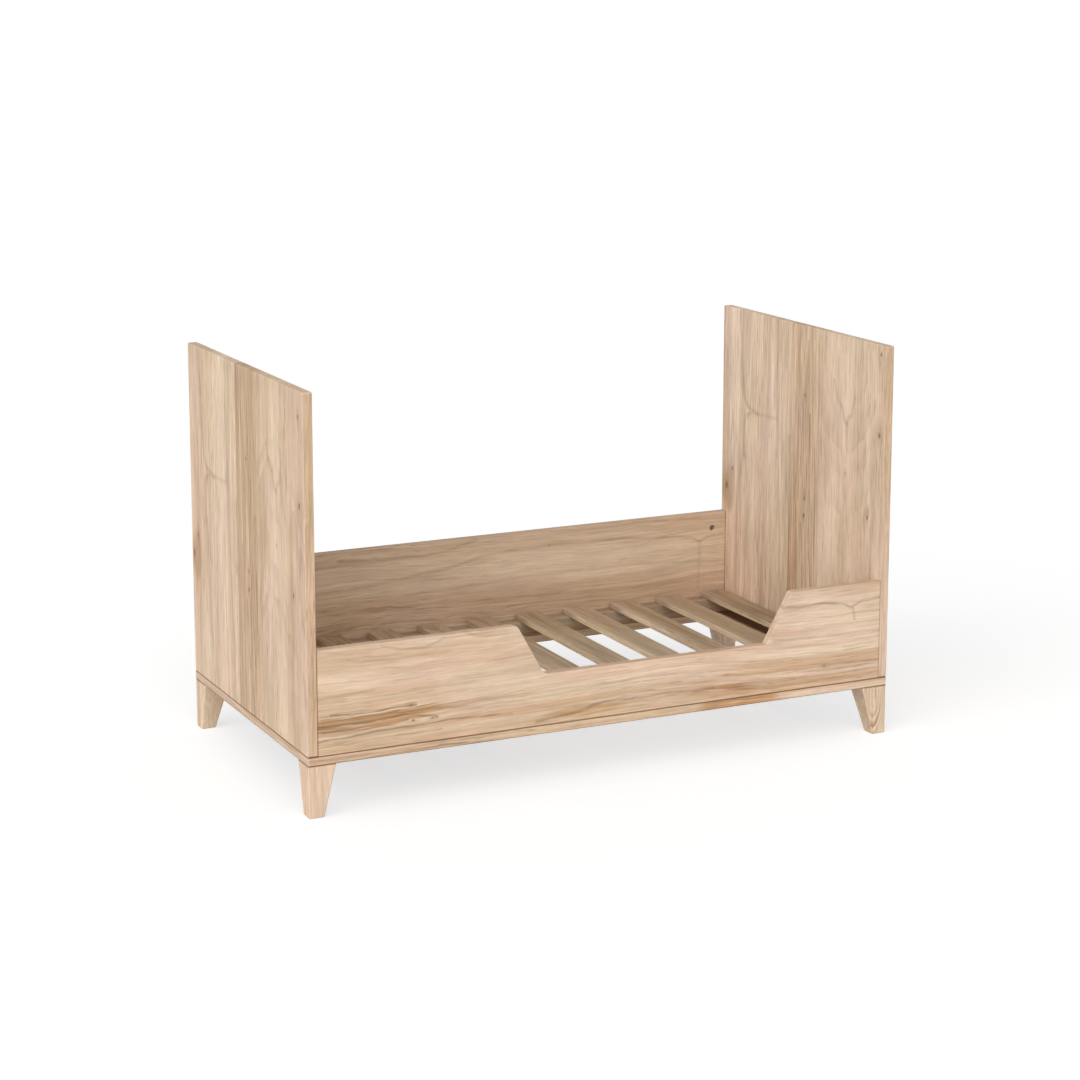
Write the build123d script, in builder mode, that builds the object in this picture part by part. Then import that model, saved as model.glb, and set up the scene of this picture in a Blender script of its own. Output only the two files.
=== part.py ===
from build123d import *
import os

# Junior bed: two tall end panels and two low side boards stand on a mitred base frame with four
# tapered legs. A slatted deck for a 1400 x 700 mattress rests on two rails inside the frame.
# Millimetres. Origin: centre of the bed on the floor. +X runs along the bed to the right-hand
# end panel, -Y faces the open entry side, +Z is up.

os.makedirs("parts", exist_ok=True)

# ---- driving dimensions ----------------------------------------------------------------------
mattress_length = 1400
mattress_width = 700
mattress_gap = 10            # free space at each edge of the mattress
overall_height = 934
board = 22                   # thickness of end panels and side boards

leg_height = 118
leg_top_width = 65
leg_foot_width = 36
base_thickness = 20
base_width = 60

guard_height = 236           # entry-side board, above the base frame
back_height = 258            # rear board, above the base frame
entry_start = -236           # left end of the entry, at the board's top edge
entry_width = 704            # at the board's top edge
entry_depth = 118
entry_slope_run = 66         # horizontal run of each sloping end

slat_count = 11
slat_width = 65
slat_thickness = 15
slat_length = 700
rail_width = 38
rail_height = 37

panel_corner_radius = 5      # top corners of the end panels
eased_edge = 1.5             # rounding of every long edge of the boards
base_corner_radius = 3
leg_edge_radius = 4          # uprights and foot of each leg
slat_edge_radius = 2
entry_start_top_radius = 14
entry_start_foot_radius = 20
entry_end_top_radius = 8     # the end beside the panel is the sharper one
entry_end_foot_radius = 4

dowel_radius = 4
dowel_end_gap = 1            # glue space past each dowel's end
dowel_chamfer = 1
long_dowel_in_board = 19     # side board to end panel
long_dowel_in_panel = 10
base_dowel_in_strip = 12     # end panel or side board to base frame
base_dowel_in_board = 17
mitre_dowel_length = 24
mitre_dowel_offset = 15      # from the middle of the mitre, along it
board_dowel_spacing = 64

cam_hole_radius = 7.5
cam_hole_depth = 16
cam_height = 12.5
cam_mouth_radius = 3.8
cam_setback = 40             # cam centre to the board's end
cam_edge_distance = 41       # cam centre to the board's top and bottom edges
cam_bore_radius = 4
bolt_thread_radius = 3
bolt_thread_length = 11
bolt_collar_radius = 3.9
bolt_collar_length = 1.5
bolt_shank_radius = 2.9
bolt_neck_radius = 1.8
bolt_neck_length = 4
bolt_head_radius = 3.5
bolt_head_length = 2.5

drive_length = 3.4           # cross recess in a screw head
drive_width = 0.9
drive_depth = 1.4
cam_drive_length = 8
cam_drive_width = 1.6
cam_drive_depth = 2.5

slat_screw_radius = 1.75
slat_screw_head = 3.5
slat_screw_length = 35
slat_screw_inset = 9         # from the slat's end
frame_screw_radius = 2.5
frame_screw_head = 4.8
board_screw_length = 60
rail_screw_length = 45
leg_screw_length = 50
leg_screw_offset = 12        # from the mitre, square to it

# ---- derived dimensions ----------------------------------------------------------------------
inner_length = mattress_length + 2 * mattress_gap
inner_width = mattress_width + 2 * mattress_gap
outer_length = inner_length + 2 * board
outer_width = inner_width + 2 * board
base_top = leg_height + base_thickness
panel_height = overall_height - base_top
panel_mid_x = (inner_length + board) / 2
board_mid_y = (inner_width + board) / 2
frame_inner_x = outer_length / 2 - base_width
frame_inner_y = outer_width / 2 - base_width
leg_centre_x = (outer_length - leg_top_width) / 2
leg_centre_y = (outer_width - leg_top_width) / 2
rail_mid_y = frame_inner_y + rail_width / 2
slat_bottom = base_top + rail_height
slat_top = slat_bottom + slat_thickness
slat_pitch = (mattress_length - slat_width) / (slat_count - 1)
slat_centres = [(i - (slat_count - 1) / 2) * slat_pitch for i in range(slat_count)]
slat_screw_y = slat_length / 2 - slat_screw_inset

board_screw_xs = [-4 * slat_pitch, -2 * slat_pitch, 0, 2 * slat_pitch, 4 * slat_pitch]
board_base_dowel_xs = [-3 * slat_pitch, 3 * slat_pitch]
rail_screw_xs = [k * slat_pitch for k in (-4.5, -2.5, -0.5, 0.5, 2.5, 4.5)]
panel_screw_ys = [-200, 0, 200]
panel_base_dowel_ys = [-290, 290]

up = (0, 0, 1)
down = (0, 0, -1)


def board_hole_heights(height):
    """Heights of the cams and of the dowels at each end of a side board of that height."""
    cams = [base_top + cam_edge_distance, base_top + height - cam_edge_distance]
    middle = base_top + height / 2
    dowels = [middle - board_dowel_spacing / 2, middle + board_dowel_spacing / 2]
    return cams, dowels


side_boards = ((-1, guard_height), (1, back_height))


# ---- hardware, each piece in a frame of its own ----------------------------------------------
def countersunk_screw(radius, head_radius, length):
    """Flat head at the origin, point downwards, cross recess in the head."""
    with BuildPart() as screw:
        with BuildSketch(Plane.XZ):
            with BuildLine():
                Polyline(
                    (0, 0),
                    (head_radius, 0),
                    (radius, radius - head_radius),
                    (radius, 2 * radius - length),
                    (0, -length),
                    close=True,
                )
            make_face()
        revolve(axis=Axis.Z)
        with BuildSketch(Plane.XY):
            Rectangle(drive_length, drive_width)
            Rectangle(drive_width, drive_length)
        extrude(amount=-drive_depth, mode=Mode.SUBTRACT)
    return screw.part


def dowel(below, above):
    """Round wooden dowel along Z, crossing the joint at the origin."""
    with BuildPart() as pin:
        with BuildSketch(Plane.XY.offset(-below)):
            Circle(dowel_radius)
        extrude(amount=below + above)
        chamfer(pin.edges().filter_by(GeomType.CIRCLE), dowel_chamfer)
    return pin.part


def cam_lock():
    """Cam in a side board: +Z out of the board's face, +X towards the end panel."""
    with BuildPart() as cam:
        with BuildSketch(Plane.XY.offset(-cam_hole_depth)):
            Circle(cam_hole_radius)
        extrude(amount=cam_height)
        with BuildSketch(Plane.YZ.offset(-bolt_head_length)):
            with Locations((0, -board / 2)):
                Circle(cam_mouth_radius)
        extrude(amount=bolt_head_length + cam_hole_radius, mode=Mode.SUBTRACT)
        with BuildSketch(Plane.XY.offset(cam_height - cam_hole_depth)):
            Rectangle(cam_drive_length, cam_drive_width)
            Rectangle(cam_drive_width, cam_drive_length)
        extrude(amount=-cam_drive_depth, mode=Mode.SUBTRACT)
    return cam.part


def cam_bolt():
    """Bolt for a cam: +Z out of the end panel's face, thread below the origin."""
    head_end = cam_setback + bolt_head_length / 2
    neck_end = head_end - bolt_head_length
    neck_start = neck_end - bolt_neck_length
    with BuildPart() as bolt:
        with BuildSketch(Plane.XZ):
            with BuildLine():
                Polyline(
                    (0, -bolt_thread_length),
                    (bolt_thread_radius, -bolt_thread_length),
                    (bolt_thread_radius, 0),
                    (bolt_collar_radius, 0),
                    (bolt_collar_radius, bolt_collar_length),
                    (bolt_shank_radius, bolt_collar_length),
                    (bolt_shank_radius, neck_start),
                    (bolt_neck_radius, neck_start),
                    (bolt_neck_radius, neck_end),
                    (bolt_head_radius, neck_end),
                    (bolt_head_radius, head_end),
                    (0, head_end),
                    close=True,
                )
            make_face()
        revolve(axis=Axis.Z)
    return bolt.part


# ---- end panels ------------------------------------------------------------------------------
for side, panel_name in ((-1, "left_end_panel"), (1, "right_end_panel")):
    inner_face = Plane((side * inner_length / 2, 0, base_top), x_dir=(0, side, 0), z_dir=(side, 0, 0))
    bolt_points = []
    dowel_points = []
    for y_side, height in side_boards:
        cam_heights, dowel_heights = board_hole_heights(height)
        across = side * y_side * board_mid_y
        bolt_points += [(across, z - base_top) for z in cam_heights]
        dowel_points += [(across, z - base_top) for z in dowel_heights]

    with BuildPart() as end_panel:
        with BuildSketch(inner_face) as outline:
            Rectangle(outer_width, panel_height, align=(Align.CENTER, Align.MIN))
            fillet(outline.vertices().group_by(Axis.Z)[-1], panel_corner_radius)
        extrude(amount=board)
        edges_by_x = end_panel.edges().group_by(Axis.X)
        fillet(edges_by_x[0] + edges_by_x[-1], eased_edge)
        with BuildSketch(inner_face):
            with Locations(*bolt_points):
                Circle(bolt_thread_radius)
        extrude(amount=bolt_thread_length, mode=Mode.SUBTRACT)
        with BuildSketch(inner_face):
            with Locations(*dowel_points):
                Circle(dowel_radius)
        extrude(amount=long_dowel_in_panel + dowel_end_gap, mode=Mode.SUBTRACT)
        with BuildSketch(Plane.XY.offset(base_top)):
            with Locations(*[(side * panel_mid_x, y) for y in panel_base_dowel_ys]):
                Circle(dowel_radius)
        extrude(amount=base_dowel_in_board + dowel_end_gap, mode=Mode.SUBTRACT)
        with BuildSketch(Plane.XY.offset(base_top)):
            with Locations(*[(side * panel_mid_x, y) for y in panel_screw_ys]):
                Circle(frame_screw_radius)
        extrude(amount=board_screw_length - base_thickness, mode=Mode.SUBTRACT)
    end_panel.part.label = panel_name
    export_step(end_panel.part, f"parts/{panel_name}.step")


# ---- side boards -----------------------------------------------------------------------------
def side_board_bores(y_side, height):
    """Solids of the cam, bolt, dowel and screw holes in a side board of that height."""
    cam_heights, dowel_heights = board_hole_heights(height)
    inner_face = Plane((0, y_side * inner_width / 2, 0), x_dir=(-y_side, 0, 0), z_dir=(0, y_side, 0))
    cam_x = inner_length / 2 - cam_setback
    with BuildPart() as bores:
        with BuildSketch(inner_face):
            with Locations(*[(x, z) for x in (-cam_x, cam_x) for z in cam_heights]):
                Circle(cam_hole_radius)
        extrude(amount=cam_hole_depth)
        for side in (-1, 1):
            end_face = Plane((side * inner_length / 2, 0, 0), x_dir=(0, -side, 0), z_dir=(-side, 0, 0))
            across = -side * y_side * board_mid_y
            with BuildSketch(end_face):
                with Locations(*[(across, z) for z in cam_heights]):
                    Circle(cam_bore_radius)
            extrude(amount=cam_setback)
            with BuildSketch(end_face):
                with Locations(*[(across, z) for z in dowel_heights]):
                    Circle(dowel_radius)
            extrude(amount=long_dowel_in_board + dowel_end_gap)
        with BuildSketch(Plane.XY.offset(base_top)):
            with Locations(*[(x, y_side * board_mid_y) for x in board_base_dowel_xs]):
                Circle(dowel_radius)
        extrude(amount=base_dowel_in_board + dowel_end_gap)
        with BuildSketch(Plane.XY.offset(base_top)):
            with Locations(*[(x, y_side * board_mid_y) for x in board_screw_xs]):
                Circle(frame_screw_radius)
        extrude(amount=board_screw_length - base_thickness)
    return bores.part


guard_top = base_top + guard_height
entry_floor = guard_top - entry_depth
entry_end = entry_start + entry_width
entry_corners = (
    (entry_floor, entry_start_foot_radius, entry_end_foot_radius),
    (guard_top, entry_start_top_radius, entry_end_top_radius),
)

with BuildPart() as front_guard_board:
    with BuildSketch(Plane.XZ.offset(inner_width / 2)) as guard_outline:
        with BuildLine():
            Polyline(
                (-inner_length / 2, base_top),
                (inner_length / 2, base_top),
                (inner_length / 2, guard_top),
                (entry_end, guard_top),
                (entry_end - entry_slope_run, entry_floor),
                (entry_start + entry_slope_run, entry_floor),
                (entry_start, guard_top),
                (-inner_length / 2, guard_top),
                close=True,
            )
        make_face()
        for height, start_radius, end_radius in entry_corners:
            for end, radius in ((0, start_radius), (-1, end_radius)):
                inner_corners = guard_outline.vertices().sort_by(Axis.X)[2:-2]
                level_corners = inner_corners.filter_by_position(Axis.Y, height - 1, height + 1)
                fillet(level_corners.sort_by(Axis.X)[end], radius)
    extrude(amount=board)
    edges_by_y = front_guard_board.edges().group_by(Axis.Y)
    fillet(edges_by_y[0] + edges_by_y[-1], eased_edge)
    add(side_board_bores(-1, guard_height), mode=Mode.SUBTRACT)
front_guard_board.part.label = "front_guard_board"
export_step(front_guard_board.part, "parts/front_guard_board.step")

with BuildPart() as back_board:
    with BuildSketch(Plane.XZ.offset(-inner_width / 2)):
        with Locations((0, base_top)):
            Rectangle(inner_length, back_height, align=(Align.CENTER, Align.MIN))
    extrude(amount=-board)
    edges_by_y = back_board.edges().group_by(Axis.Y)
    fillet(edges_by_y[0] + edges_by_y[-1], eased_edge)
    add(side_board_bores(1, back_height), mode=Mode.SUBTRACT)
back_board.part.label = "back_board"
export_step(back_board.part, "parts/back_board.step")


# ---- base frame ------------------------------------------------------------------------------
outer_x, outer_y = outer_length / 2, outer_width / 2
corner_signs = [(sx, sy) for sx in (-1, 1) for sy in (-1, 1)]

base_outlines = {
    "base_strip_front": [(-outer_x, -outer_y), (outer_x, -outer_y),
                         (frame_inner_x, -frame_inner_y), (-frame_inner_x, -frame_inner_y)],
    "base_strip_back": [(-outer_x, outer_y), (outer_x, outer_y),
                        (frame_inner_x, frame_inner_y), (-frame_inner_x, frame_inner_y)],
    "base_strip_left": [(-outer_x, -outer_y), (-outer_x, outer_y),
                        (-frame_inner_x, frame_inner_y), (-frame_inner_x, -frame_inner_y)],
    "base_strip_right": [(outer_x, -outer_y), (outer_x, outer_y),
                         (frame_inner_x, frame_inner_y), (frame_inner_x, -frame_inner_y)],
}

top_dowel_points = [(x, y * board_mid_y) for x in board_base_dowel_xs for y in (-1, 1)]
top_dowel_points += [(x * panel_mid_x, y) for x in (-1, 1) for y in panel_base_dowel_ys]
board_screw_points = [(x, y * board_mid_y) for x in board_screw_xs for y in (-1, 1)]
board_screw_points += [(x * panel_mid_x, y) for x in (-1, 1) for y in panel_screw_ys]
rail_screw_points = [(x, y * slat_screw_y) for x in rail_screw_xs for y in (-1, 1)]

diagonal = 0.5 ** 0.5
leg_screw_points = []
mitre_dowel_planes = []
for sx, sy in corner_signs:
    for step in (-leg_screw_offset, leg_screw_offset):
        leg_screw_points.append((sx * (leg_centre_x - step * diagonal), sy * (leg_centre_y + step * diagonal)))
    for step in (-mitre_dowel_offset, mitre_dowel_offset):
        middle = (sx * (leg_centre_x + step * diagonal), sy * (leg_centre_y + step * diagonal),
                  leg_height + base_thickness / 2)
        mitre_dowel_planes.append(Plane(middle, x_dir=up, z_dir=(-sx, sy, 0)))

board_screw_planes = [Plane((x, y, leg_height), z_dir=down) for x, y in board_screw_points]
rail_screw_planes = [Plane((x, y, leg_height), z_dir=down) for x, y in rail_screw_points]
leg_screw_planes = [Plane((x, y, base_top), z_dir=up) for x, y in leg_screw_points]

for strip_name, strip_outline in base_outlines.items():
    with BuildPart() as base_strip:
        with BuildSketch(Plane.XY.offset(leg_height)):
            RectangleRounded(outer_length, outer_width, base_corner_radius)
        extrude(amount=base_thickness)
        edges_by_z = base_strip.edges().group_by(Axis.Z)
        fillet(edges_by_z[0] + edges_by_z[-1], eased_edge)
        with BuildSketch(Plane.XY.offset(leg_height)):
            with BuildLine():
                Polyline(*strip_outline, close=True)
            make_face()
        extrude(amount=base_thickness, mode=Mode.INTERSECT)
        with BuildSketch(Plane.XY.offset(base_top)):
            with Locations(*top_dowel_points):
                Circle(dowel_radius)
        extrude(amount=-(base_dowel_in_strip + dowel_end_gap), mode=Mode.SUBTRACT)
        with Locations(*board_screw_planes, *rail_screw_planes, *leg_screw_planes):
            CounterSinkHole(frame_screw_radius, frame_screw_head, base_thickness, 90)
        for mitre_plane in mitre_dowel_planes:
            with BuildSketch(mitre_plane):
                Circle(dowel_radius)
            extrude(amount=mitre_dowel_length / 2 + dowel_end_gap, both=True, mode=Mode.SUBTRACT)
    base_strip.part.label = strip_name
    export_step(base_strip.part, f"parts/{strip_name}.step")


# ---- legs ------------------------------------------------------------------------------------
leg_names = {(-1, -1): "leg_front_left", (1, -1): "leg_front_right",
             (-1, 1): "leg_back_left", (1, 1): "leg_back_right"}

for (sx, sy), leg_name in leg_names.items():
    foot_x = sx * (outer_length - leg_foot_width) / 2
    foot_y = sy * (outer_width - leg_foot_width) / 2
    with BuildPart() as leg:
        with BuildSketch(Plane.XY):
            with Locations((foot_x, foot_y)):
                Rectangle(leg_foot_width, leg_foot_width)
        with BuildSketch(Plane.XY.offset(leg_height)):
            with Locations((sx * leg_centre_x, sy * leg_centre_y)):
                Rectangle(leg_top_width, leg_top_width)
        loft()
        edges_by_z = leg.edges().group_by(Axis.Z)
        fillet(edges_by_z[0] + edges_by_z[1], leg_edge_radius)
        fillet(leg.edges().group_by(Axis.Z)[-1], eased_edge)
        own_screws = [(x, y) for x, y in leg_screw_points if x * sx > 0 and y * sy > 0]
        with BuildSketch(Plane.XY.offset(leg_height)):
            with Locations(*own_screws):
                Circle(frame_screw_radius)
        extrude(amount=base_thickness - leg_screw_length, mode=Mode.SUBTRACT)
    leg.part.label = leg_name
    export_step(leg.part, f"parts/{leg_name}.step")


# ---- slatted deck ----------------------------------------------------------------------------
for y_side, rail_name in ((-1, "slat_rail_front"), (1, "slat_rail_back")):
    with BuildPart() as slat_rail:
        with BuildSketch(Plane.XY.offset(base_top)):
            with Locations((0, y_side * rail_mid_y)):
                Rectangle(inner_length, rail_width)
        extrude(amount=rail_height)
        fillet(slat_rail.edges().filter_by(Axis.X), eased_edge)
        with BuildSketch(Plane.XY.offset(slat_bottom)):
            with Locations(*[(x, y_side * slat_screw_y) for x in slat_centres]):
                Circle(slat_screw_radius)
        extrude(amount=slat_thickness - slat_screw_length, mode=Mode.SUBTRACT)
        with BuildSketch(Plane.XY.offset(base_top)):
            with Locations(*[(x, y_side * slat_screw_y) for x in rail_screw_xs]):
                Circle(frame_screw_radius)
        extrude(amount=rail_screw_length - base_thickness, mode=Mode.SUBTRACT)
    slat_rail.part.label = rail_name
    export_step(slat_rail.part, f"parts/{rail_name}.step")

for number, slat_x in enumerate(slat_centres, start=1):
    slat_name = f"slat_{number:02d}"
    with BuildPart() as slat:
        with BuildSketch(Plane.XY.offset(slat_bottom)):
            with Locations((slat_x, 0)):
                Rectangle(slat_width, slat_length)
        extrude(amount=slat_thickness)
        fillet(slat.edges().filter_by(Axis.Y), slat_edge_radius)
        with Locations((slat_x, -slat_screw_y, slat_top), (slat_x, slat_screw_y, slat_top)):
            CounterSinkHole(slat_screw_radius, slat_screw_head, slat_thickness, 90)
    slat.part.label = slat_name
    export_step(slat.part, f"parts/{slat_name}.step")


# ---- fasteners, each kind one group of separate solids ---------------------------------------
cam_planes = []
bolt_planes = []
long_dowel_planes = []
for y_side, height in side_boards:
    cam_heights, dowel_heights = board_hole_heights(height)
    for side in (-1, 1):
        cam_x = side * (inner_length / 2 - cam_setback)
        end_x = side * inner_length / 2
        for z in cam_heights:
            face_point = (cam_x, y_side * inner_width / 2, z)
            cam_planes.append(Plane(face_point, x_dir=(side, 0, 0), z_dir=(0, -y_side, 0)))
            bolt_planes.append(Plane((end_x, y_side * board_mid_y, z), z_dir=(-side, 0, 0)))
        for z in dowel_heights:
            long_dowel_planes.append(Plane((end_x, y_side * board_mid_y, z), z_dir=(-side, 0, 0)))

with BuildPart() as cam_locks:
    with Locations(*cam_planes):
        add(cam_lock())
cam_locks.part.label = "cam_locks"
export_step(cam_locks.part, "parts/cam_locks.step")

with BuildPart() as cam_bolts:
    with Locations(*bolt_planes):
        add(cam_bolt())
cam_bolts.part.label = "cam_bolts"
export_step(cam_bolts.part, "parts/cam_bolts.step")

with BuildPart() as board_dowels:
    with Locations(*long_dowel_planes):
        add(dowel(long_dowel_in_panel, long_dowel_in_board))
board_dowels.part.label = "board_dowels"
export_step(board_dowels.part, "parts/board_dowels.step")

with BuildPart() as base_dowels:
    with Locations(*[(x, y, base_top) for x, y in top_dowel_points]):
        add(dowel(base_dowel_in_strip, base_dowel_in_board))
base_dowels.part.label = "base_dowels"
export_step(base_dowels.part, "parts/base_dowels.step")

with BuildPart() as mitre_dowels:
    with Locations(*mitre_dowel_planes):
        add(dowel(mitre_dowel_length / 2, mitre_dowel_length / 2))
mitre_dowels.part.label = "mitre_dowels"
export_step(mitre_dowels.part, "parts/mitre_dowels.step")

with BuildPart() as board_screws:
    with Locations(*board_screw_planes):
        add(countersunk_screw(frame_screw_radius, frame_screw_head, board_screw_length))
board_screws.part.label = "board_screws"
export_step(board_screws.part, "parts/board_screws.step")

with BuildPart() as rail_screws:
    with Locations(*rail_screw_planes):
        add(countersunk_screw(frame_screw_radius, frame_screw_head, rail_screw_length))
rail_screws.part.label = "rail_screws"
export_step(rail_screws.part, "parts/rail_screws.step")

with BuildPart() as leg_screws:
    with Locations(*leg_screw_planes):
        add(countersunk_screw(frame_screw_radius, frame_screw_head, leg_screw_length))
leg_screws.part.label = "leg_screws"
export_step(leg_screws.part, "parts/leg_screws.step")

with BuildPart() as slat_screws:
    with Locations(*[(x, y * slat_screw_y, slat_top) for x in slat_centres for y in (-1, 1)]):
        add(countersunk_screw(slat_screw_radius, slat_screw_head, slat_screw_length))
slat_screws.part.label = "slat_screws"
export_step(slat_screws.part, "parts/slat_screws.step")
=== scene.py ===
import math

import bpy
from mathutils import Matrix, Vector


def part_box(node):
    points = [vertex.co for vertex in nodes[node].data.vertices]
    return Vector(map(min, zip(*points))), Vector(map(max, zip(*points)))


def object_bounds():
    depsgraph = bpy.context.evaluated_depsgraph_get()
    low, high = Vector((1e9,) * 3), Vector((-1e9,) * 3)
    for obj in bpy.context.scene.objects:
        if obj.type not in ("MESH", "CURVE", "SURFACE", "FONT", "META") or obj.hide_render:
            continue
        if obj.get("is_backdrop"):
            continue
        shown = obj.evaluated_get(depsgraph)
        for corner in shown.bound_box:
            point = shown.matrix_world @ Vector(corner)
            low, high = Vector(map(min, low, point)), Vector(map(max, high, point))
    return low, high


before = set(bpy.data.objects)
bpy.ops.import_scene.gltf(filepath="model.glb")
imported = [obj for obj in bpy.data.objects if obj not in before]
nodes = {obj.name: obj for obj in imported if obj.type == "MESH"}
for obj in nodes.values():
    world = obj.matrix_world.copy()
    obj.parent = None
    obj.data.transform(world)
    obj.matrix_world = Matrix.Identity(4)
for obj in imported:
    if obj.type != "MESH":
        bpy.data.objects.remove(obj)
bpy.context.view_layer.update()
scene = bpy.context.scene


# ---- node graphs -----------------------------------------------------------------------------
class Graph:
    """Short calls for building a shader node tree. Values may be numbers, colours or sockets."""

    def __init__(self, tree):
        self.tree = tree

    def put(self, socket, value):
        if isinstance(value, bpy.types.NodeSocket):
            self.tree.links.new(value, socket)
        else:
            socket.default_value = value

    def node(self, kind, inputs=None, **settings):
        made = self.tree.nodes.new(kind)
        for name, value in settings.items():
            setattr(made, name, value)
        for name, value in (inputs or {}).items():
            self.put(made.inputs[name], value)
        return made

    def math(self, operation, *values, clamp=False):
        made = self.node("ShaderNodeMath", operation=operation, use_clamp=clamp)
        for socket, value in zip(made.inputs, values):
            self.put(socket, value)
        return made.outputs[0]

    def add(self, *values):
        total = values[0]
        for value in values[1:]:
            total = self.math("ADD", total, value)
        return total

    def times(self, *values):
        total = values[0]
        for value in values[1:]:
            total = self.math("MULTIPLY", total, value)
        return total

    def combine(self, x, y, z):
        return self.node("ShaderNodeCombineXYZ", {"X": x, "Y": y, "Z": z}).outputs[0]

    def separate(self, vector):
        return self.node("ShaderNodeSeparateXYZ", {"Vector": vector}).outputs

    def noise(self, vector, detail=2.0, roughness=0.5, distortion=0.0):
        inputs = {"Vector": vector, "Scale": 1.0, "Detail": detail,
                  "Roughness": roughness, "Distortion": distortion}
        return self.node("ShaderNodeTexNoise", inputs).outputs["Fac"]

    def step(self, value, low, high):
        """0 below low, 1 above high, smooth between. low may be the larger one."""
        made = self.node("ShaderNodeMapRange", interpolation_type="SMOOTHSTEP")
        for name, item in (("Value", value), ("From Min", low), ("From Max", high)):
            self.put(made.inputs[name], item)
        return made.outputs["Result"]

    def spread(self, value, low, high, to_low, to_high):
        inputs = {"Value": value, "From Min": low, "From Max": high, "To Min": to_low, "To Max": to_high}
        return self.node("ShaderNodeMapRange", inputs).outputs["Result"]

    def mix(self, factor, first, second, blend="MIX"):
        made = self.node("ShaderNodeMix", data_type="RGBA", blend_type=blend)
        self.put(made.inputs[0], factor)
        self.put(made.inputs[6], first)
        self.put(made.inputs[7], second)
        return made.outputs[2]


# ---- the wood --------------------------------------------------------------------------------
# colours, as linear red, green, blue and alpha
PALE = (0.860, 0.672, 0.508, 1)
TAN = (0.590, 0.405, 0.255, 1)
BROWN = (0.350, 0.196, 0.098, 1)
ORANGE = (0.600, 0.330, 0.160, 1)
KNOT = (0.130, 0.070, 0.038, 1)
WHITE = (1, 1, 1, 1)
PINKISH = (1.010, 0.985, 1.000, 1)
OLIVE = (0.985, 1.000, 0.955, 1)
DARK = (0.235, 0.125, 0.062, 1)


def new_group(name, inputs, outputs):
    """An empty node group of float inputs, with its graph, given sockets and result sockets."""
    tree = bpy.data.node_groups.new(name, "ShaderNodeTree")
    for label in inputs:
        tree.interface.new_socket(label, in_out="INPUT", socket_type="NodeSocketFloat")
    for label, kind in outputs.items():
        tree.interface.new_socket(label, in_out="OUTPUT", socket_type=kind)
    graph = Graph(tree)
    return tree, graph, graph.node("NodeGroupInput").outputs, graph.node("NodeGroupOutput").inputs


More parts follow.
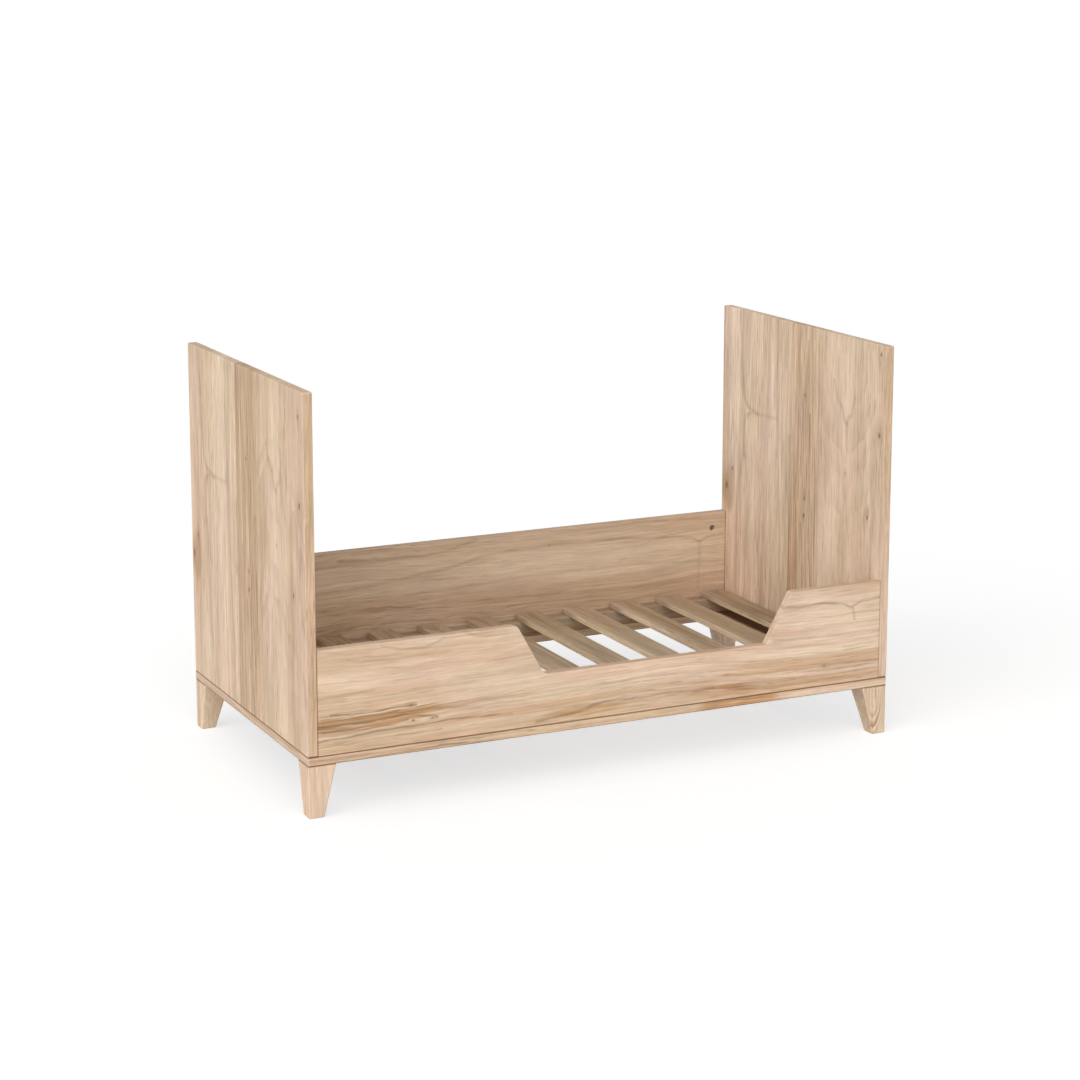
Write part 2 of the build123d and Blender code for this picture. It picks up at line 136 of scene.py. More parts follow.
def make_timber_group():
    """Solid sawn wood. Along, Across and Depth are metres in the plank's own directions."""
    inputs = ("Along", "Across", "Depth", "Seed", "Pith across", "Pith depth", "Pith slope",
              "Ring spacing", "Ring strength", "Wander", "Streaks", "Tone", "Warmth", "Fibre")
    outputs = {"Color": "NodeSocketColor", "Roughness": "NodeSocketFloat", "Height": "NodeSocketFloat"}
    tree, graph, given, result = new_group("timber", inputs, outputs)
    along, across, depth, seed = given["Along"], given["Across"], given["Depth"], given["Seed"]

    def fibre_noise(along_scale, cross_scale, shift, **settings):
        start = graph.add(seed, shift)
        place = graph.combine(
            graph.math("MULTIPLY_ADD", along, along_scale, start),
            graph.times(across, cross_scale),
            graph.times(depth, cross_scale),
        )
        return graph.noise(place, **settings)

    # the tree's wandering: slow bends that every line follows
    slow = graph.math("SUBTRACT", fibre_noise(1.3, 2.5, 3.1, detail=1.0), 0.5)
    quick = graph.math("SUBTRACT", fibre_noise(6.0, 14.0, 7.7, detail=2.0), 0.5)
    fine = graph.math("SUBTRACT", fibre_noise(22.0, 45.0, 9.9, detail=2.0), 0.5)
    bends = graph.add(graph.times(slow, 0.035), graph.times(quick, 0.0060), graph.times(fine, 0.0022))
    bend = graph.times(bends, given["Wander"])
    across = graph.add(across, bend)

    # growth rings about a pith that runs beside the plank and slowly nears its face
    aside = graph.math("SUBTRACT", across, given["Pith across"])
    nearing = graph.math("MULTIPLY_ADD", along, given["Pith slope"], given["Pith depth"])
    below = graph.add(nearing, depth, graph.times(quick, 0.006))
    radius = graph.math("SQRT", graph.add(graph.times(aside, aside), graph.times(below, below)))
    knotty = graph.math("SUBTRACT", fibre_noise(1.2, 16.0, 5.5, detail=2.0), 0.5)
    good_years = graph.noise(graph.combine(graph.times(radius, 28.0), seed, 0.0), detail=2.0)
    unevenness = graph.times(graph.math("SUBTRACT", good_years, 0.5), 5.0)
    wobble = graph.times(knotty, given["Wander"], 2.4)
    turns = graph.add(graph.math("DIVIDE", radius, given["Ring spacing"]), wobble, unevenness)
    phase = graph.math("FRACT", turns)
    year = graph.math("ADD", graph.math("FLOOR", turns), seed)
    vigour = graph.node("ShaderNodeTexWhiteNoise", {"W": year}, noise_dimensions="1D").outputs["Value"]
    boldness = graph.spread(graph.times(vigour, vigour, vigour), 0.0, 1.0, 0.10, 1.0)
    late_wood = graph.times(graph.step(phase, 0.15, 0.88), graph.step(phase, 1.0, 0.93))
    fading = graph.step(fibre_noise(2.0, 18.0, 11.0, detail=2.0), 0.38, 0.60)
    strength = graph.times(given["Ring strength"], boldness, graph.spread(fading, 0.0, 1.0, 0.2, 1.0))
    rings = graph.times(late_wood, strength)

    # bands of every width, clusters of streaks and threads, and the fibres themselves
    bands = graph.math("SUBTRACT", fibre_noise(0.55, 11.0, 17.0, detail=7.0, roughness=0.78), 0.5)
    busy = graph.step(fibre_noise(0.9, 8.0, 19.0, detail=2.0), 0.42, 0.60)
    busy_share = graph.spread(busy, 0.0, 1.0, 0.15, 1.0)
    streak_noise = fibre_noise(1.7, 55.0, 23.0, detail=5.0, roughness=0.74)
    streaks = graph.times(graph.step(streak_noise, 0.50, 0.66), given["Streaks"], busy_share)
    thread_noise = fibre_noise(3.6, 170.0, 25.0, detail=3.0, roughness=0.65)
    threads = graph.times(graph.step(thread_noise, 0.51, 0.62), given["Streaks"], busy_share, 0.80)
    pale_noise = fibre_noise(2.6, 70.0, 27.0, detail=4.0, roughness=0.7)
    pale_lines = graph.times(graph.step(pale_noise, 0.53, 0.66), 0.42)
    warm_noise = fibre_noise(1.3, 38.0, 29.0, detail=4.0, roughness=0.7)
    warm = graph.times(graph.step(warm_noise, 0.42, 0.62), given["Warmth"])
    fibres = fibre_noise(9.0, 260.0, 31.0, detail=4.0, roughness=0.7)
    flecks = graph.step(fibre_noise(16.0, 230.0, 33.0, detail=2.0), 0.57, 0.70)
    clouds = fibre_noise(5.0, 13.0, 37.0, detail=4.0)
    hue = graph.step(fibre_noise(1.8, 10.0, 39.0, detail=4.0, roughness=0.6), 0.40, 0.62)
    pores = graph.step(fibre_noise(26.0, 900.0, 41.0, detail=1.0), 0.60, 0.70)

    tone = graph.math("MULTIPLY_ADD", bands, 3.0, given["Tone"])
    color = graph.mix(graph.math("ADD", tone, 0.0, clamp=True), PALE, TAN)
    color = graph.mix(graph.step(tone, 0.75, 1.7), color, BROWN)
    color = graph.mix(graph.math("MULTIPLY", warm, 0.85, clamp=True), color, ORANGE)
    color = graph.mix(graph.math("MULTIPLY", streaks, 0.75, clamp=True), color, BROWN)
    color = graph.mix(graph.math("MULTIPLY", rings, 0.85, clamp=True), color, BROWN)
    color = graph.mix(pale_lines, color, PALE)
    color = graph.mix(graph.math("MULTIPLY", threads, 0.8, clamp=True), color, BROWN)
    color = graph.mix(graph.times(flecks, graph.spread(busy, 0.0, 1.0, 0.18, 0.50)), color, BROWN)
    color = graph.mix(1.0, color, graph.mix(hue, OLIVE, PINKISH), "MULTIPLY")
    shade = graph.add(
        1.035,
        graph.times(graph.math("SUBTRACT", fibres, 0.5), given["Fibre"]),
        graph.times(graph.math("SUBTRACT", clouds, 0.5), 0.32),
        graph.times(pores, -0.12),
    )
    shaded = graph.node("ShaderNodeVectorMath", {0: color}, operation="SCALE")
    graph.put(shaded.inputs["Scale"], shade)
    graph.put(result["Color"], shaded.outputs[0])
    graph.put(result["Roughness"], graph.add(0.52, graph.times(fibres, 0.14), graph.times(rings, -0.10)))
    height = graph.add(graph.times(fibres, 0.6), graph.times(pores, -0.5), graph.times(rings, -0.25))
    graph.put(result["Height"], height)
    return tree


def make_knot_group():
    """Bends the grain round one knot, and gives its dark spot and the halo about it."""
    inputs = ("Along", "Across", "Knot along", "Knot across", "Radius", "Pull")
    outputs = {"Bent": "NodeSocketFloat", "Spot": "NodeSocketFloat", "Halo": "NodeSocketFloat"}
    tree, graph, given, result = new_group("knot", inputs, outputs)
    du = graph.math("SUBTRACT", given["Along"], given["Knot along"])
    dv = graph.math("SUBTRACT", given["Across"], given["Knot across"])
    u_radii = graph.math("DIVIDE", du, given["Radius"])
    v_radii = graph.math("DIVIDE", dv, given["Radius"])

    def nearness(u_reach, v_reach):
        u_part, v_part = graph.times(u_radii, 1 / u_reach), graph.times(v_radii, 1 / v_reach)
        far = graph.add(graph.times(u_part, u_part), graph.times(v_part, v_part))
        return graph.math("EXPONENT", graph.times(far, -1.0))

    squeeze = graph.times(nearness(6.0, 3.0), given["Pull"], -1.0)
    graph.put(result["Bent"], graph.math("MULTIPLY_ADD", squeeze, dv, given["Across"]))
    graph.put(result["Spot"], graph.step(nearness(1.2, 0.75), 0.10, 0.95))
    graph.put(result["Halo"], nearness(5.0, 2.4))
    return tree


def make_stroke_group():
    """1 along one straight stroke, fading to 0 over its width and past its ends."""
    inputs = ("Along", "Across", "Start along", "Start across", "End along", "End across", "Width")
    tree, graph, given, result = new_group("stroke", inputs, {"Mask": "NodeSocketFloat"})
    here = graph.combine(given["Along"], given["Across"], 0.0)
    start = graph.combine(given["Start along"], given["Start across"], 0.0)
    end = graph.combine(given["End along"], given["End across"], 0.0)

    def vector(operation, first, second, output=0):
        return graph.node("ShaderNodeVectorMath", {0: first, 1: second}, operation=operation).outputs[output]

    run = vector("SUBTRACT", end, start)
    offset = vector("SUBTRACT", here, start)
    share = graph.math("DIVIDE", vector("DOT_PRODUCT", offset, run, "Value"),
                       vector("DOT_PRODUCT", run, run, "Value"), clamp=True)
    nearest = graph.node("ShaderNodeVectorMath", {0: run}, operation="SCALE")
    graph.put(nearest.inputs["Scale"], share)
    away = graph.math("DIVIDE", vector("DISTANCE", offset, nearest.outputs[0], "Value"), given["Width"])
    graph.put(result["Mask"], graph.math("EXPONENT", graph.times(away, away, -1.0)))
    return tree


def make_patch_group():
    """1 inside an oval, fading to 0 at its rim."""
    inputs = ("Along", "Across", "Centre along", "Centre across", "Half length", "Half width")
    tree, graph, given, result = new_group("patch", inputs, {"Mask": "NodeSocketFloat"})
    u_part = graph.math("DIVIDE", graph.math("SUBTRACT", given["Along"], given["Centre along"]),
                        given["Half length"])
    v_part = graph.math("DIVIDE", graph.math("SUBTRACT", given["Across"], given["Centre across"]),
                        given["Half width"])
    far = graph.add(graph.times(u_part, u_part), graph.times(v_part, v_part))
    graph.put(result["Mask"], graph.step(far, 1.0, 0.2))
    return tree


timber = make_timber_group()
knot_group = make_knot_group()
stroke_group = make_stroke_group()
patch_group = make_patch_group()
AXIS = {"X": 0, "Y": 1, "Z": 2}
USUAL_LOOKS = {"pith_across": 0.3, "pith_depth": 0.1, "pith_slope": 0.04, "ring_spacing": 0.008,
               "ring_strength": 0.55, "wander": 1.0, "streaks": 0.35, "tone": 0.35, "warmth": 0.15,
               "fibre": 0.75}
# painted shadow in the joints between planks: its colour and how far it reaches
GROOVE_SHADOW_COLOR = (0.50, 0.37, 0.26, 1)
GROOVE_SHADOW_REACH = 0.0026
SWAY = 0.012                 # how far patches and marks wander across the plank
MARK_SPREAD = 1.4
MARK_STRENGTH = 0.8
HALO_STRENGTH = 0.28
SPOT_STRENGTH = 0.72
OBLIQUE, SQUARE_ON = 0.80, 0.98
SIDE_FADE = 0.08
# how much the rounded edges are paled: wear, and a painted highlight where they catch the light
WEAR_AND_HIGHLIGHT_STRENGTH = 0.22
WORN_SMOOTHING = -0.08
BUMP_STRENGTH = 0.35
BUMP_HEIGHT = 0.0006
SPECULAR = 0.35


def wood_material(name, along, across, depth, seed, shift=(0, 0), staves=(), knots=(), marks=(),
                  patches=(), grooves=(), tint=WHITE, end_tint=(1.00, 0.98, 0.95, 1), side_tint=WHITE,
                  side_reach=10.0, **looks):
    """One plank's wood. along, across and depth are the plank's directions, as X, Y or Z.

    Places below are metres along and across the plank, moved by shift.
    staves: (upper edge across, looks) from the lowest to the highest, where the plank is glued up.
    knots: (along, across, radius, pull), where the grain bends round a dark spot.
    marks: (width, strength, (along, across), (along, across), ...), single dark lines.
    patches: (along, across, half length, half width, looks added inside the oval).
    grooves: (axis, place) of the shadow lines where the plank meets its neighbours.
    side_tint colours the narrow sides as far as side_reach either way from the middle."""
    material = bpy.data.materials.new(name)
    material.use_nodes = True
    tree = material.node_tree
    tree.nodes.clear()
    graph = Graph(tree)
    place = graph.separate(graph.node("ShaderNodeTexCoord").outputs["Object"])
    normal = graph.separate(graph.node("ShaderNodeNewGeometry").outputs["Normal"])
    u = graph.math("SUBTRACT", place[AXIS[along]], shift[0])
    v = graph.math("SUBTRACT", place[AXIS[across]], shift[1])
    plain_v = v

    spots, halos = 0.0, 0.0
    for knot_along, knot_across, radius, pull in knots:
        knot = graph.node("ShaderNodeGroup", {}, node_tree=knot_group)
        values = (u, v, knot_along, knot_across, radius, pull)
        for socket, value in zip(knot.inputs, values):
            graph.put(socket, value)
        v = knot.outputs["Bent"]
        spots = graph.math("MAXIMUM", spots, knot.outputs["Spot"])
        halos = graph.math("MAXIMUM", halos, knot.outputs["Halo"])

    sway_place = graph.combine(graph.times(u, 9.0), graph.times(v, 20.0), seed)
    sway = graph.math("SUBTRACT", graph.noise(sway_place, detail=2.0), 0.5)
    swayed_v = graph.math("MULTIPLY_ADD", sway, SWAY, v)

    settings = {**USUAL_LOOKS, "seed": seed, **looks}
    if staves:
        settings.update(staves[0][1])
        for (edge, _), (_, next_looks) in zip(staves, staves[1:]):
            beyond = graph.math("GREATER_THAN", plain_v, edge)
            for look, value in next_looks.items():
                gap = graph.math("SUBTRACT", value, settings[look])
                settings[look] = graph.math("MULTIPLY_ADD", beyond, gap, settings[look])
    for patch_along, patch_across, half_length, half_width, added in patches:
        patch = graph.node("ShaderNodeGroup", {}, node_tree=patch_group)
        values = (u, swayed_v, patch_along, patch_across, half_length, half_width)
        for socket, value in zip(patch.inputs, values):
            graph.put(socket, value)
        for look, value in added.items():
            settings[look] = graph.math("MULTIPLY_ADD", patch.outputs[0], value, settings[look])

    wood = graph.node("ShaderNodeGroup", {}, node_tree=timber)
    for socket, value in (("Along", u), ("Across", v), ("Depth", place[AXIS[depth]])):
        graph.put(wood.inputs[socket], value)
    for look, value in settings.items():
        graph.put(wood.inputs[look.replace("_", " ").capitalize()], value)
    color = wood.outputs["Color"]

    # marks come and go along their length
    mark_place = graph.combine(graph.times(u, 16.0), graph.times(v, 70.0), seed)
    presence = graph.spread(graph.step(graph.noise(mark_place), 0.34, 0.56), 0.0, 1.0, 0.45, 1.0)
    for width, strength, *points in marks:
        line = 0.0
        for start, end in zip(points, points[1:]):
            stroke = graph.node("ShaderNodeGroup", {}, node_tree=stroke_group)
            for socket, value in zip(stroke.inputs, (u, swayed_v, *start, *end, width * MARK_SPREAD)):
                graph.put(socket, value)
            line = graph.math("MAXIMUM", line, stroke.outputs[0])
        color = graph.mix(graph.times(line, strength * MARK_STRENGTH, presence), color, DARK)
    if knots:
        color = graph.mix(graph.times(halos, HALO_STRENGTH), color, BROWN)
        color = graph.mix(graph.times(spots, SPOT_STRENGTH), color, KNOT)

    def facing(axis):
        return graph.math("ABSOLUTE", normal[AXIS[axis]])

    color = graph.mix(1.0, color, tint, "MULTIPLY")
    end_grain = graph.step(facing(along), OBLIQUE, SQUARE_ON)
    color = graph.mix(end_grain, color, end_tint, "MULTIPLY")
    # the narrow sides' tint: for the slats it is a painted highlight and for the base strips painted shade
    within_reach = graph.step(graph.math("ABSOLUTE", u), side_reach, side_reach - SIDE_FADE)
    side = graph.times(graph.step(facing(across), OBLIQUE, SQUARE_ON), within_reach)
    color = graph.mix(side, color, side_tint, "MULTIPLY")
    # the rounded edges are painted paler: wear, and a painted highlight where the light catches them
    squarest = graph.math("MAXIMUM", facing("X"), graph.math("MAXIMUM", facing("Y"), facing("Z")))
    worn_and_highlit = graph.step(squarest, 0.93, 0.80)
    color = graph.mix(graph.times(worn_and_highlit, WEAR_AND_HIGHLIGHT_STRENGTH), color, PALE)
    # painted shadow lines along the joints where the plank meets its neighbours
    for axis, level in grooves:
        away = graph.math("ABSOLUTE", graph.math("SUBTRACT", place[AXIS[axis]], level))
        joint_shadow = graph.step(away, GROOVE_SHADOW_REACH, GROOVE_SHADOW_REACH * 0.35)
        color = graph.mix(joint_shadow, color, GROOVE_SHADOW_COLOR, "MULTIPLY")

    bump = graph.node("ShaderNodeBump", {"Strength": BUMP_STRENGTH, "Distance": BUMP_HEIGHT,
                                         "Height": wood.outputs["Height"]})
    shader = graph.node("ShaderNodeBsdfPrincipled", {
        "Base Color": color,
        "Roughness": graph.math("MULTIPLY_ADD", worn_and_highlit, WORN_SMOOTHING, wood.outputs["Roughness"]),
        "Normal": bump.outputs[0],
        "Specular IOR Level": SPECULAR,
    })
    output = graph.node("ShaderNodeOutputMaterial")
    tree.links.new(shader.outputs[0], output.inputs["Surface"])
    return material


def metal_material(name, base, rough):
    """Plated metal with a faint mottle."""
    material = bpy.data.materials.new(name)
    material.use_nodes = True
    tree = material.node_tree
    tree.nodes.clear()
    graph = Graph(tree)
    place = graph.node("ShaderNodeTexCoord").outputs["Object"]
    stretched = graph.node("ShaderNodeVectorMath", {0: place}, operation="SCALE")
    graph.put(stretched.inputs["Scale"], 900.0)
    mottle = graph.noise(stretched.outputs[0], detail=3.0)
    color = graph.mix(mottle, (*[c * 0.75 for c in base], 1), (*base, 1))
    shader = graph.node("ShaderNodeBsdfPrincipled", {
        "Base Color": color,
        "Metallic": 1.0,
        "Roughness": graph.spread(mottle, 0.0, 1.0, rough - 0.1, rough + 0.1),
    })
    output = graph.node("ShaderNodeOutputMaterial")
    tree.links.new(shader.outputs[0], output.inputs["Surface"])
    return material


def dress(node, material):
    """Gives every material slot of a CAD node the one material."""
    mesh = nodes[node].data
    mesh.materials.clear()
    mesh.materials.append(material)


# ---- each piece's wood -----------------------------------------------------------------------
BASE_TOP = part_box("base_strip_front")[1][2]
LEG_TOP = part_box("leg_front_left")[1][2]
PANEL_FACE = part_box("front_guard_board")[1][0]
base_groove = ("Z", BASE_TOP)
leg_groove = ("Z", LEG_TOP)
end_grooves = (("X", -PANEL_FACE), ("X", PANEL_FACE))

# both end panels are cut from one glued-up board, the left one a little further along it
FRONT_STAVE_EDGE = -0.092
MIDDLE_STAVE_EDGE = 0.043
panel_staves = (
    (FRONT_STAVE_EDGE, {"seed": 1.0, "pith_across": -0.208, "pith_depth": 0.126, "pith_slope": -0.12,
                        "ring_spacing": 0.0090, "ring_strength": 0.34, "streaks": 0.30, "tone": 0.32,
                        "warmth": 0.12, "fibre": 0.75}),
    (MIDDLE_STAVE_EDGE, {"seed": 7.0, "pith_across": 1.600, "pith_depth": 0.20, "pith_slope": 0.03,
                         "ring_spacing": 0.0070, "ring_strength": 0.80, "streaks": 1.00, "tone": 0.52,
                         "warmth": 0.30, "fibre": 1.30}),
    (1.0, {"seed": 13.0, "pith_across": -0.700, "pith_depth": 0.10, "pith_slope": 0.05,
           "ring_spacing": 0.0260, "ring_strength": 0.45, "streaks": 0.22, "tone": 0.27,
           "warmth": 0.08, "fibre": 1.20}),
)
panel_knots = (
    (0.505, -0.030, 0.0050, 0.85),
    (0.462, -0.029, 0.0055, 0.85),
    (0.762, -0.024, 0.0040, 0.80),
    (0.603, -0.215, 0.0025, 0.60),
    (0.514, -0.316, 0.0055, 0.50),
    (0.720, -0.361, 0.0070, 0.85),
    (0.912, -0.361, 0.0050, 0.80),
    (0.515, 0.327, 0.0050, 0.60),
    (0.466, 0.357, 0.0090, 0.90),
)
panel_marks = (
    # the crotch in the back stave
    (0.0045, 0.46, (0.960, 0.298), (0.800, 0.283), (0.715, 0.270), (0.690, 0.252), (0.678, 0.205)),
    (0.0035, 0.24, (0.678, 0.205), (0.682, 0.110)),
    (0.0048, 0.42, (0.676, 0.238), (0.667, 0.256), (0.640, 0.267), (0.560, 0.266)),
    (0.0080, 0.26, (0.560, 0.266), (0.440, 0.248), (0.300, 0.252)),
    # long lines between the staves and beside the middle one's knots
    (0.0040, 0.28, (0.960, 0.112), (0.560, 0.100), (0.100, 0.070)),
    (0.0032, 0.24, (0.560, 0.140), (0.380, 0.134), (0.100, 0.122)),
    (0.0018, 0.55, (0.650, 0.045), (0.100, 0.044)),
    (0.0018, 0.75, (0.720, -0.050), (0.430, -0.050), (0.290, -0.064)),
    (0.0020, 0.75, (0.440, -0.018), (0.280, -0.027)),
    (0.0016, 0.70, (0.640, -0.075), (0.370, -0.080)),
    (0.0022, 0.42, (0.960, 0.004), (0.500, 0.000)),
    (0.0018, 0.55, (0.740, -0.012), (0.560, -0.014)),
    (0.0016, 0.60, (0.900, -0.036), (0.640, -0.040), (0.420, -0.038), (0.150, -0.046)),
    (0.0016, 0.55, (0.560, 0.012), (0.150, 0.006)),
    # the lowest flame of the front stave
    (0.0036, 0.34, (0.820, -0.160), (0.775, -0.178), (0.762, -0.196), (0.730, -0.208), (0.722, -0.218),
     (0.742, -0.226), (0.748, -0.240), (0.795, -0.252)),
    (0.0050, 0.30, (0.725, -0.219), (0.660, -0.222)),
)
panel_patches = (
    (0.460, 0.340, 0.075, 0.036, {"tone": 0.45, "warmth": 0.30}),
    (0.400, -0.215, 0.230, 0.026, {"tone": 0.30}),
    (0.480, -0.300, 0.300, 0.020, {"tone": 0.22}),
    (0.350, 0.020, 0.260, 0.026, {"tone": 0.12, "warmth": 0.10}),
    (0.620, 0.140, 0.420, 0.026, {"tone": -0.35}),
    (0.250, 0.290, 0.170, 0.032, {"tone": -0.40}),
    (0.860, 0.330, 0.160, 0.045, {"tone": -0.20}),
    (0.640, -0.130, 0.120, 0.030, {"tone": 0.30}),
    (0.420, -0.150, 0.170, 0.040, {"tone": -0.30}),
)
EDGE_TINT = (0.90, 0.84, 0.76, 1)
PALE_EDGE_TINT = (0.96, 0.92, 0.89, 1)
COOL_TINT = (1.000, 1.015, 1.045, 1)
BACK_TINT = (0.88, 0.88, 0.90, 1)
for name, shift, edge_tint, tint in (("left_end_panel", (-0.034, 0.008), EDGE_TINT, WHITE),
                                     ("right_end_panel", (0, 0), PALE_EDGE_TINT, COOL_TINT)):
    dress(name, wood_material(name, "Z", "Y", "X", 1.0, shift, panel_staves, panel_knots, panel_marks,
                              panel_patches, (base_groove,), tint=tint, side_tint=edge_tint))

front_knots = (
    (-0.487, 0.191, 0.0036, 0.80),
    (-0.442, 0.190, 0.0028, 0.70),
    (-0.492, 0.226, 0.0026, 0.70),
    (0.558, 0.186, 0.0026, 0.70),
)
front_marks = (
    # arcs of the cathedral over the left end
    (0.0020, 0.34, (-0.560, 0.368), (-0.515, 0.353), (-0.460, 0.351), (-0.410, 0.370)),
    (0.0022, 0.26, (-0.362, 0.373), (-0.335, 0.362), (-0.260, 0.362)),
    # long lines under it
    (0.0024, 0.20, (-0.640, 0.345), (-0.540, 0.332), (-0.400, 0.336)),
    (0.0022, 0.24, (-0.310, 0.300), (-0.205, 0.311)),
    (0.0024, 0.40, (-0.710, 0.268), (-0.580, 0.269)),
    (0.0020, 0.75, (-0.710, 0.170), (-0.560, 0.178), (-0.400, 0.180), (-0.250, 0.176)),
    (0.0018, 0.80, (-0.710, 0.204), (-0.600, 0.200), (-0.510, 0.206), (-0.430, 0.190)),
    (0.0016, 0.75, (-0.680, 0.226), (-0.560, 0.222), (-0.480, 0.226)),
    (0.0014, 0.70, (-0.700, 0.190), (-0.600, 0.186), (-0.500, 0.192)),
    (0.0014, 0.60, (-0.700, 0.216), (-0.600, 0.212), (-0.520, 0.216)),
    (0.0014, 0.55, (-0.710, 0.156), (-0.560, 0.162), (-0.420, 0.162)),
    # the brown lens along the bottom
    (0.0026, 0.60, (-0.190, 0.148), (-0.100, 0.156), (-0.020, 0.172), (0.080, 0.174), (0.260, 0.170)),
    (0.0022, 0.42, (0.260, 0.170), (0.380, 0.172), (0.480, 0.164)),
    (0.0024, 0.36, (0.480, 0.186), (0.600, 0.187), (0.712, 0.182)),
    # the crotch in the right end
    (0.0024, 0.58, (0.440, 0.337), (0.560, 0.338), (0.610, 0.332), (0.628, 0.322)),
    (0.0022, 0.50, (0.634, 0.324), (0.655, 0.334), (0.712, 0.337)),
    (0.0024, 0.34, (0.634, 0.322), (0.640, 0.290)),
    (0.0026, 0.32, (0.420, 0.262), (0.712, 0.255)),
)
front_patches = (
    (0.000, 0.182, 1.500, 0.062, {"tone": 0.10, "streaks": 0.35, "warmth": 0.22}),
    (-0.590, 0.206, 0.240, 0.030, {"warmth": 0.95, "streaks": 0.60, "tone": -0.30}),
    (-0.065, 0.160, 0.120, 0.016, {"warmth": 1.20, "tone": 0.45}),
    (0.260, 0.158, 0.130, 0.020, {"warmth": 0.60, "streaks": 0.50, "tone": 0.30}),
    (-0.300, 0.367, 0.065, 0.010, {"warmth": 0.90, "tone": 0.30}),
    (-0.500, 0.300, 0.230, 0.040, {"tone": -0.25}),
    (0.560, 0.290, 0.170, 0.045, {"tone": -0.15}),
    (0.100, 0.235, 0.420, 0.020, {"tone": -0.30}),
)
dress("front_guard_board", wood_material(
    "front_guard_board", "X", "Z", "Y", 20.0, (0, 0), (), front_knots, front_marks, front_patches,
    (base_groove, *end_grooves), side_tint=PALE_EDGE_TINT, pith_across=0.900, pith_depth=0.100,
    pith_slope=0.03, ring_spacing=0.0100, ring_strength=0.50, wander=1.2, streaks=0.22, tone=0.26,
    warmth=0.40, fibre=0.55))

back_marks = (
    (0.0032, 0.36, (-0.480, 0.292), (-0.300, 0.302), (-0.110, 0.320), (0.020, 0.346), (0.200, 0.357)),
    (0.0030, 0.36, (0.200, 0.357), (0.420, 0.352), (0.560, 0.342), (0.615, 0.332), (0.630, 0.322)),
    (0.0024, 0.40, (0.636, 0.324), (0.655, 0.333), (0.712, 0.336)),
    (0.0030, 0.24, (0.634, 0.322), (0.630, 0.200)),
    (0.0030, 0.42, (-0.370, 0.372), (-0.260, 0.366), (-0.140, 0.364), (-0.060, 0.376), (0.000, 0.392)),
    (0.0028, 0.40, (0.440, 0.394), (0.560, 0.388), (0.712, 0.378)),
    (0.0030, 0.28, (-0.200, 0.268), (0.100, 0.282), (0.460, 0.280), (0.712, 0.268)),
)
back_patches = (
    (0.000, 0.205, 0.900, 0.050, {"tone": 0.10, "streaks": 0.30}),
    (-0.420, 0.230, 0.220, 0.060, {"tone": 0.18, "streaks": 0.20}),
    (0.300, 0.300, 0.420, 0.045, {"tone": -0.15}),
)
dress("back_board", wood_material(
    "back_board", "X", "Z", "Y", 31.0, (0, 0), (), (), back_marks, back_patches,
    (base_groove, *end_grooves), tint=BACK_TINT, side_tint=PALE_EDGE_TINT, pith_across=-0.500,
    pith_depth=0.060, pith_slope=0.10, ring_spacing=0.0120, ring_strength=0.28, wander=1.8, streaks=0.20,
    tone=0.48, warmth=0.0, fibre=0.70))

# painted shade: the strips' top and bottom faces are painted darker and cooler, for the shade they lie in
# under the slats
STRIP_FLAT_FACE_PAINTED_SHADE = (0.72, 0.76, 0.82, 1)
END_STRIP_SHADE = 0.92
strip_patches = {"front": ((0.330, 0.128, 0.120, 0.032, {"warmth": 1.30, "streaks": 0.45, "tone": 0.35}),
                           (-0.350, 0.128, 0.220, 0.030, {"tone": 0.20}))}
for index, side in enumerate(("front", "back", "left", "right")):
    along, depth = ("X", "Y") if side in ("front", "back") else ("Y", "X")
    shade = 1.0 if along == "X" else END_STRIP_SHADE
    name = f"base_strip_{side}"
    dress(name, wood_material(name, along, "Z", depth, 40.0 + 3.3 * index, grooves=(base_groove, leg_groove),
                              patches=strip_patches.get(side, ()), tint=(shade, shade, shade, 1),
                              side_tint=STRIP_FLAT_FACE_PAINTED_SHADE, pith_across=-0.1, streaks=0.80, tone=0.36,
                              warmth=0.45))

leg_figures = {
    "front_left": {"pith_across": -1.20, "tone": 0.20, "ring_strength": 0.50},
    "front_right": {"pith_across": 0.695, "pith_depth": 0.415, "pith_slope": -0.30, "tone": 0.10,
                    "ring_spacing": 0.006, "ring_strength": 1.00},
    "back_left": {"pith_across": -1.20, "tone": 0.20},
    "back_right": {"pith_across": 1.20, "tone": 0.20},
}
for index, (corner, figure) in enumerate(leg_figures.items()):
    name = f"leg_{corner}"
    dress(name, wood_material(name, "Z", "X", "Y", 60.0 + 4.1 * index, grooves=(leg_groove,), **figure))

# painted shade: the rails are painted darker for the shade they sit in under the slats
RAIL_PAINTED_SHADE = (0.66, 0.67, 0.67, 1)
for index, side in enumerate(("front", "back")):
    name = f"slat_rail_{side}"
    dress(name, wood_material(name, "X", "Z", "Y", 80.0 + 2.7 * index, tint=RAIL_PAINTED_SHADE, tone=0.7,
                              streaks=0.8))

# painted light and shade on the slats: their long sides are painted paler than their tops for the light that
# falls on them, but not near their ends, which stay in shade by the boards; the tops are darker, partly
# their own wood and partly painted shade inside the bed, and the last slats get more painted shade for the
# corner they lie in
SLAT_SIDE_PAINTED_LIGHT = (1.60, 1.66, 1.68, 1)
SLAT_PAINTED_LIGHT_REACH = 0.32
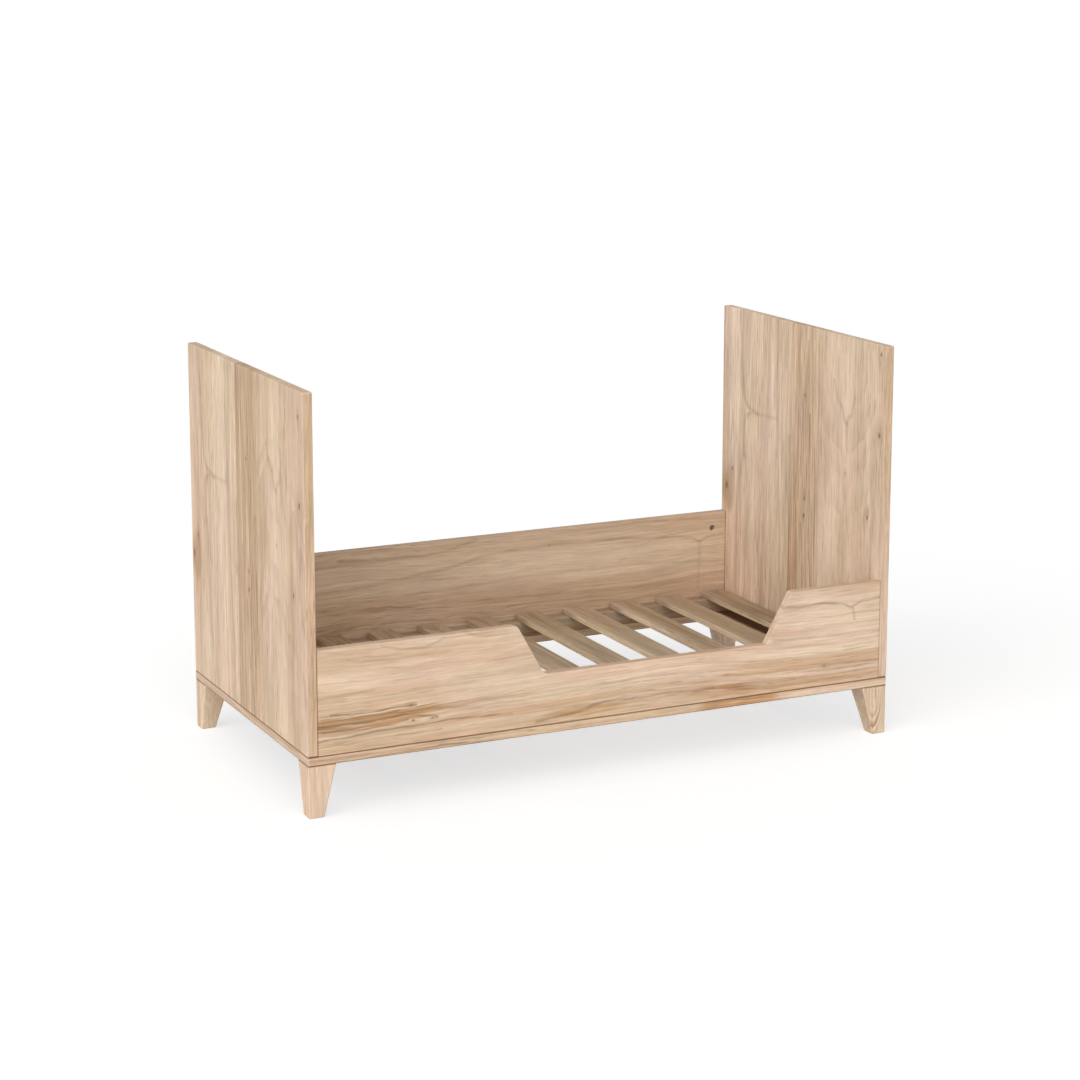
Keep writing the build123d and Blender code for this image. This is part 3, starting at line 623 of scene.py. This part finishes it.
# the slat tops' darkening, partly their own wood and partly painted shade, and the painted corner shadow on
# the last slats
SLAT_WOOD_AND_PAINTED_SHADE = 0.80
CORNER_SHADOW_STEP = 0.045
LAST_UNSHADOWED_SLAT = 8
for number in range(1, 12):
    name = f"slat_{number:02d}"
    low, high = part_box(name)
    middle = (low[0] + high[0]) / 2
    heart = ((0, middle, 0.6, 0.015, {"tone": 0.25, "streaks": 0.35}),)
    shade = SLAT_WOOD_AND_PAINTED_SHADE - CORNER_SHADOW_STEP * max(0, number - LAST_UNSHADOWED_SLAT)
    dress(name, wood_material(name, "Y", "X", "Z", 90.0 + 5.3 * number, patches=heart,
                              side_tint=SLAT_SIDE_PAINTED_LIGHT, side_reach=SLAT_PAINTED_LIGHT_REACH,
                              tint=(shade * 0.96, shade, shade * 0.97, 1),
                              tone=0.50, streaks=0.60,
                              pith_across=middle + 0.02 * math.sin(2.4 * number), pith_depth=0.05,
                              pith_slope=0.05 * math.cos(1.7 * number), ring_spacing=0.009))

beech = wood_material("dowel_beech", "X", "Y", "Z", 150.0, tone=0.2, streaks=0.1, ring_strength=0.1)
for name in ("board_dowels", "base_dowels", "mitre_dowels"):
    dress(name, beech)
dress("cam_locks", metal_material("cam_zinc", (0.34, 0.33, 0.32), 0.5))
dress("cam_bolts", metal_material("bolt_zinc", (0.52, 0.51, 0.50), 0.4))
screw_zinc = metal_material("screw_zinc", (0.62, 0.60, 0.56), 0.4)
for name in ("board_screws", "rail_screws", "leg_screws", "slat_screws"):
    dress(name, screw_zinc)


# ---- floor, light and camera -----------------------------------------------------------------
def plane(name, size, height):
    mesh = bpy.data.meshes.new(name)
    half = size / 2
    corners = [(-half, -half, height), (half, -half, height), (half, half, height), (-half, half, height)]
    mesh.from_pydata(corners, [], [(0, 1, 2, 3)])
    made = bpy.data.objects.new(name, mesh)
    scene.collection.objects.link(made)
    made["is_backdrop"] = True
    return made


FLOOR_SIZE = 400
FLOOR_HEIGHT = -0.0002
BOUNCE_HEIGHT = -0.0006
FLOOR_LEVEL = 0.984          # the lit floor's brightness in all
FLOOR_LIT = 0.665            # the light that falls on it
FLOOR_SHADE = (0.69, 0.64, 0.60)
BOUNCE_ALBEDO = 0.70

# the floor that shows: pale, lit mostly by its own even glow, with soft shadows
floor = plane("studio_floor", FLOOR_SIZE, FLOOR_HEIGHT)
floor_material = bpy.data.materials.new("studio_floor")
floor_material.use_nodes = True
floor_material.node_tree.nodes.clear()
graph = Graph(floor_material.node_tree)
matte = graph.node("ShaderNodeBsdfDiffuse", {"Color": (*FLOOR_SHADE, 1)})
floor_glow = [FLOOR_LEVEL - FLOOR_LIT * shade for shade in FLOOR_SHADE]
glow = graph.node("ShaderNodeEmission", {"Color": (*floor_glow, 1), "Strength": 1.0})
both = graph.node("ShaderNodeAddShader", {0: matte.outputs[0], 1: glow.outputs[0]})
graph.node("ShaderNodeOutputMaterial", {"Surface": both.outputs[0]})
floor.data.materials.append(floor_material)
floor.visible_diffuse = False
floor.visible_glossy = False
floor.visible_shadow = False

# the floor that bounces light onto the bed, just under it
bounce = plane("studio_bounce", FLOOR_SIZE, BOUNCE_HEIGHT)
bounce_material = bpy.data.materials.new("studio_bounce")
bounce_material.use_nodes = True
bounce_material.node_tree.nodes["Principled BSDF"].inputs["Base Color"].default_value = (
    BOUNCE_ALBEDO, BOUNCE_ALBEDO, BOUNCE_ALBEDO, 1)
bounce.data.materials.append(bounce_material)
bounce.visible_camera = False

# an even sky, dimmer overhead and white where it meets the floor
HORIZON_LIGHT = 0.9
ZENITH_LIGHT = 0.2
WHITE_BELOW, DIM_ABOVE = 0.10, 0.16
world = bpy.data.worlds.new("studio")
scene.world = world
world.use_nodes = True
world.node_tree.nodes.clear()
graph = Graph(world.node_tree)
direction = graph.separate(graph.node("ShaderNodeTexCoord").outputs["Generated"])
dimming = graph.spread(direction[2], 0.0, 1.0, HORIZON_LIGHT, ZENITH_LIGHT)
strength = graph.math("MAXIMUM", dimming, graph.step(direction[2], DIM_ABOVE, WHITE_BELOW))
sky = graph.node("ShaderNodeBackground", {"Color": WHITE, "Strength": strength})
graph.node("ShaderNodeOutputWorld", {"Surface": sky.outputs[0]})

# a broad soft light from behind the camera
key_data = bpy.data.lights.new("key", "SUN")
key_data.energy = 2.3
key_data.angle = math.radians(90)
key = bpy.data.objects.new("key", key_data)
key.rotation_euler = (math.radians(70), 0, math.radians(-45))
scene.collection.objects.link(key)

camera_data = bpy.data.cameras.new("camera")
camera_data.lens = 88.5
camera_data.sensor_width = 36
camera_data.shift_y = -0.102
camera_data.clip_end = 500
camera = bpy.data.objects.new("camera", camera_data)
camera.location = (-2.6416, -5.5266, 1.8908)
camera.rotation_euler = (math.radians(90 - 10.727), 0, math.radians(-25.561))
scene.collection.objects.link(camera)
scene.camera = camera

scene.view_settings.view_transform = "Standard"

low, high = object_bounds()
